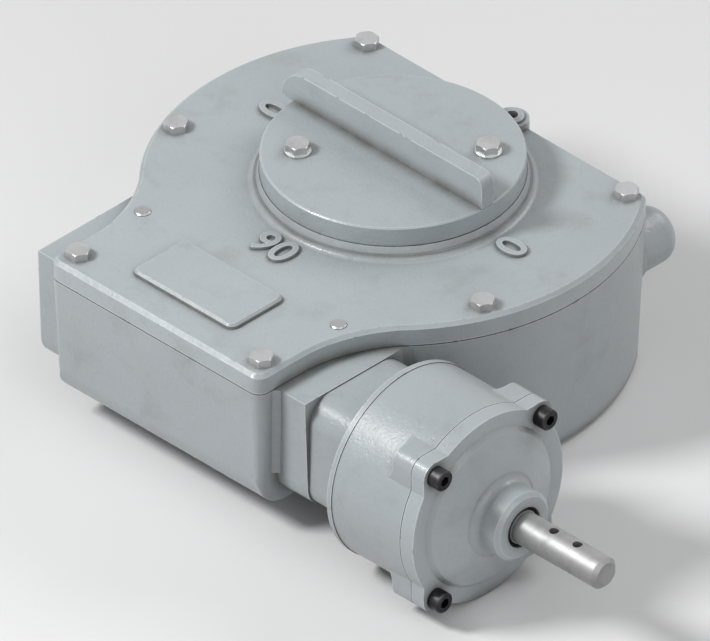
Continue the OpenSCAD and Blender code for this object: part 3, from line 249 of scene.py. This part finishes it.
def enamelFinish(name, tone=1.0, machinedBase=False):  # thick enamel over a sand casting
    grain, band, share = paint["grain"], paint["band"], paint["share"]
    roughness, depth = paint["rough"], paint["depth"]
    f = Finish(name)
    cloud = f.noise(*grain["cloud"])
    sand = f.noise(*grain["sand"])
    pits = f.noise(*grain["pits"]).ramp(*band["pits"])
    smears = f.noise(*grain["smears"]).ramp(*band["smears"])
    rim = f.edges(paint["edge"], *band["rim"])
    corner = f.hollow(paint["reach"])
    inside = corner.ramp(*band["inside"])
    outside = 1.0 - inside
    patchy = share["patchLeast"] + f.noise(*grain["patches"]) * share["patchSwing"]
    chips = f.noise(*grain["chips"]).ramp(*band["chips"]) * rim * outside

    darkest, lightest = (toned(paint["colour"], tone * drift) for drift in paint["drift"])
    base = f.mix(cloud, darkest, lightest)
    layers = (
        (smears * share["smears"], paint["grimeAndShade"]),
        (sand.ramp(*band["specks"]) * share["specks"], paint["grimeAndShade"]),
        # outer edges painted lighter: partly thin paint, partly a painted highlight
        (rim * outside * share["thinAndHighlight"], toned(paint["thinAndHighlight"], tone)),
        # painted shade: darker in corners and crevices, from the occlusion of the hollow mask
        (corner.ramp(*band["corner"]) * patchy, paint["grimeAndShade"]),
        # painted shade along inner edges that lie in a corner
        (rim * inside * patchy * share["innerRim"], paint["grimeAndShade"]),
        (chips * share["chips"], paint["undercoat"]))
    for mask, over in layers:
        base = f.mix(mask, base, over)

    rough = (roughness["plain"] + (cloud - 0.5) * roughness["cloud"] + (sand - 0.5) * roughness["sand"]
             + chips * roughness["chips"] + corner * roughness["corner"])
    dents = f.noise(*grain["dents"]) - 0.5
    height = (sand - 0.5) * depth["sand"] + dents * depth["dents"] - pits * depth["pits"]
    metal = 0.0
    if machinedBase:
        x, y, z = f.axes()
        bare = 1.0 - z.ramp(*facedBase["top"])
        level = f.add("ShaderNodeCombineXYZ", {}, [x, y, 0.0])
        out = f.add("ShaderNodeVectorMath", {"operation": "LENGTH"}, [level], "Value")
        scale, detail = facedBase["lines"]
        ring = f.add("ShaderNodeTexNoise", {"noise_dimensions": "1D"},
                     {"W": out, "Scale": scale, "Detail": detail})
        dull = metals["machinedIron"]["colour"]
        base = f.mix(bare, base, f.mix(ring, dull, toned(dull, facedBase["bright"])))
        metal = bare
        rough = rough * (1.0 - bare) + bare * (facedBase["rough"] + ring * facedBase["roughSwing"])
        height = height * (1.0 - bare) + bare * ring * facedBase["depth"]
    return f.made(base, rough, metal, coat=paint["coat"], normal=f.bump(height, 1.0))


rubber = {"colour": (0.016, 0.016, 0.017), "bloom": (0.038, 0.038, 0.038), "blots": (90.0, 3.0),
          "rough": 0.42, "roughSwing": 0.2, "grain": 700.0, "depth": 0.00003}


def rubberFinish():
    f = Finish("sealRubber")
    bloom = f.noise(*rubber["blots"])
    rough = rubber["rough"] + (bloom - 0.5) * rubber["roughSwing"]
    normal = f.bump(f.noise(rubber["grain"]), rubber["depth"])
    return f.made(f.mix(bloom, rubber["colour"], rubber["bloom"]), rough, normal=normal)


gasket = {"colour": (0.05, 0.055, 0.05), "fibre": (0.11, 0.115, 0.105), "grain": (500.0, 4.0),
          "rough": 0.85, "depth": 0.00006}


def gasketFinish():
    f = Finish("gasketFibre")
    fibre = f.noise(*gasket["grain"])
    colour = f.mix(fibre, gasket["colour"], gasket["fibre"])
    return f.made(colour, gasket["rough"], normal=f.bump(fibre, gasket["depth"]))


castingTone = 0.94  # the castings are a little darker than the cover
castingPaint = enamelFinish("castingPaint", castingTone)
bodyPaint = enamelFinish("bodyPaint", castingTone, machinedBase=True)
coverPaint = enamelFinish("coverPaint")
sealRubber = rubberFinish()
finishes = {"casting": castingPaint, "seal": sealRubber, "gasket": gasketFinish()}
for name, look in metals.items():
    finishes[look["slot"]] = plainMetal(name, look)

ownFinish = {"housing": bodyPaint, "top_cover": coverPaint, "indicator_plate": coverPaint,
             "reducer_cover": coverPaint}
for entry in frame["record"]["subparts"]:
    node = entry["node"]
    for slot in bpy.data.objects[node].material_slots:
        slot.material = ownFinish.get(node, finishes[entry["material_slot"]])
print("finishes on the packed pieces")

sameSpot = 1e-6  # points nearer than this, in metres, become one


def inScene(name, data):
    thing = bpy.data.objects.new(name, data)
    bpy.context.scene.collection.objects.link(thing)
    return thing


def meshOf(mesh, name, finish):  # a bmesh is used up into mesh data
    data = bpy.data.meshes.new(name)
    mesh.to_mesh(data)
    mesh.free()
    data.materials.append(finish)
    return data


def inOrder(mesh):  # a merge leaves points and faces in an order that changes from run to run
    points = sorted(mesh.verts, key=lambda point: point.co.to_tuple(7))
    for rank, point in enumerate(points):
        point.index = rank
    faces = sorted(mesh.faces, key=lambda face: sorted(point.index for point in face.verts))
    for rank, face in enumerate(faces):
        face.index = rank
    mesh.verts.sort()
    mesh.faces.sort()


def keep(name, mesh, finish, body):  # a bmesh becomes a finished piece
    bmesh.ops.remove_doubles(mesh, verts=mesh.verts, dist=sameSpot)
    bmesh.ops.recalc_face_normals(mesh, faces=mesh.faces)
    inOrder(mesh)
    piece = inScene(name, meshOf(mesh, name, finish))
    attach(piece, body)
    return piece


lipSeal = {
    "steps": 128,
    "sharpFrom": 28,  # degrees between two faces, past which the edge stays sharp
    "section": (  # millimetres behind the front face and from the shaft's axis, once round the section
        (8.0, 15.9), (0.4, 15.9), (0.0, 15.5), (0.0, 12.9), (0.6, 12.7), (0.6, 12.2), (0.0, 12.0),
        (1.3, 11.2), (0.2, 10.75), (0.5, 10.56), (2.2, 10.8), (3.2, 11.8), (2.6, 13.1), (6.8, 13.1),
        (6.8, 12.2), (8.0, 12.2)),
}


def inputLipSeal():  # case, dust lip and shaft lip, spun round the input axis
    low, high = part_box("input_seal")
    centre = Vector((high[0], (low[1] + high[1]) / 2, (low[2] + high[2]) / 2))
    mesh = bmesh.new()
    ring = [mesh.verts.new(centre + Vector((-back, 0.0, out)) / 1000) for back, out in lipSeal["section"]]
    edges = [mesh.edges.new((a, b)) for a, b in zip(ring, ring[1:] + ring[:1])]
    bmesh.ops.spin(mesh, geom=ring + edges, cent=centre, axis=(1.0, 0.0, 0.0), angle=2 * math.pi,
                   steps=lipSeal["steps"], use_merge=True)
    piece = keep("inputLipSeal", mesh, sealRubber, "base")
    piece.data.shade_smooth()
    piece.data.set_sharp_from_angle(angle=math.radians(lipSeal["sharpFrom"]))
    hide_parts("input_seal")


inputLipSeal()
print("lip seal round the shaft")

figures = {  # in metres
    "size": 0.0285,
    "rise": 0.0018,
    "bevel": 0.00035,
    "swell": 0.0002,  # thickens the strokes
    "foot": 0.111,  # height of the cover's top face
    "reach": 0.0975,  # from the stem's axis to the middle of a number
}


def raisedFigure(name, text, centre, turn):  # a cast number on the cover, its foot just in the plate
    curve = bpy.data.curves.new(name, "FONT")
    curve.body = text
    curve.align_x = "CENTER"
    curve.align_y = "CENTER"
    curve.size = figures["size"]
    curve.extrude = figures["rise"] / 2
    curve.bevel_depth = figures["bevel"]
    curve.bevel_resolution = 2
    curve.offset = figures["swell"]
    source = inScene(name + "Source", curve)
    bpy.context.view_layer.update()
    data = bpy.data.meshes.new_from_object(source.evaluated_get(bpy.context.evaluated_depsgraph_get()))
    bpy.data.objects.remove(source)
    height = figures["foot"] + figures["rise"] / 2
    data.transform(Matrix.Translation((*centre, height)) @ Matrix.Rotation(turn, 4, "Z"))
    mesh = bmesh.new()
    mesh.from_mesh(data)
    bpy.data.meshes.remove(data)
    return keep(name, mesh, coverPaint, "base")


raisedFigure("openFigure", "90", (0.0, -figures["reach"]), 0.0)
raisedFigure("shutFigureRight", "0", (figures["reach"], 0.0), math.pi / 2)
raisedFigure("shutFigureLeft", "0", (-figures["reach"], 0.0), -math.pi / 2)
print("figures on the cover")

room = {
    "azimuth": 45.0,  # the view is isometric
    "elevation": 35.2644,
    "across": 0.4083,  # width of the view, in metres
    "aim": (0.028, -0.059, 0.0557),
    "away": 1.6,
    "farthest": 20.0,
    "floorSize": 6.0,
    "floorDrop": 0.0002,  # how far the floor lies under the lowest point
    "floorGrey": 0.72,
    "floorRough": 0.9,
    "light": 0.24,  # the world as it lights the object
    "backdrop": 0.92,  # and as it is seen, straight or in a reflection
    "lamps": {  # place, width and power
        "key": ((-0.55, -1.05, 1.25), 0.45, 22.0),
        "fill": ((1.35, -0.5, 0.9), 1.2, 7.0),
        "back": ((0.2, 1.2, 1.1), 0.9, 9.0),
    },
}


def isometricView():
    azimuth, elevation = math.radians(room["azimuth"]), math.radians(room["elevation"])
    out = Vector((math.sin(azimuth) * math.cos(elevation), -math.cos(azimuth) * math.cos(elevation),
                  math.sin(elevation)))
    camera = bpy.data.cameras.new("view")
    camera.type = "ORTHO"
    camera.ortho_scale = room["across"]
    camera.clip_end = room["farthest"]
    holder = inScene("view", camera)
    holder.location = Vector(room["aim"]) + out * room["away"]
    holder.rotation_euler = out.to_track_quat("Z", "Y").to_euler()
    bpy.context.scene.camera = holder


def paleFloor():
    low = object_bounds()[0][2]
    mesh = bmesh.new()
    bmesh.ops.create_grid(mesh, x_segments=1, y_segments=1, size=room["floorSize"],
                          matrix=Matrix.Translation((0.0, 0.0, low - room["floorDrop"])))
    grey = room["floorGrey"]
    finish = Finish("floorPale").made((grey, grey, grey), room["floorRough"])
    floor = inScene("floor", meshOf(mesh, "floor", finish))


def softLight():
    world = bpy.data.worlds.new("studio")
    bpy.context.scene.world = world
    sky = Graph(world)
    straight, mirrored, through = (sky.add("ShaderNodeLightPath", {}, {}, f"Is {ray} Ray")
                                   for ray in ("Camera", "Glossy", "Transmission"))
    seen = straight.larger(mirrored).larger(through)
    strength = room["light"] + seen * (room["backdrop"] - room["light"])
    shade = sky.add("ShaderNodeBackground", {}, {"Color": (1.0, 1.0, 1.0), "Strength": strength})
    sky.add("ShaderNodeOutputWorld", {}, {"Surface": shade})
    for name, (place, width, power) in room["lamps"].items():
        lamp = bpy.data.lights.new(name, "AREA")
        lamp.shape = "DISK"
        lamp.size = width
        lamp.energy = power
        stand = inScene(name, lamp)
        stand.location = place
        stand.rotation_euler = (Vector(place) - Vector(room["aim"])).to_track_quat("Z", "Y").to_euler()


isometricView()
paleFloor()
softLight()
bpy.context.scene.view_settings.view_transform = "Standard"
print("studio set")
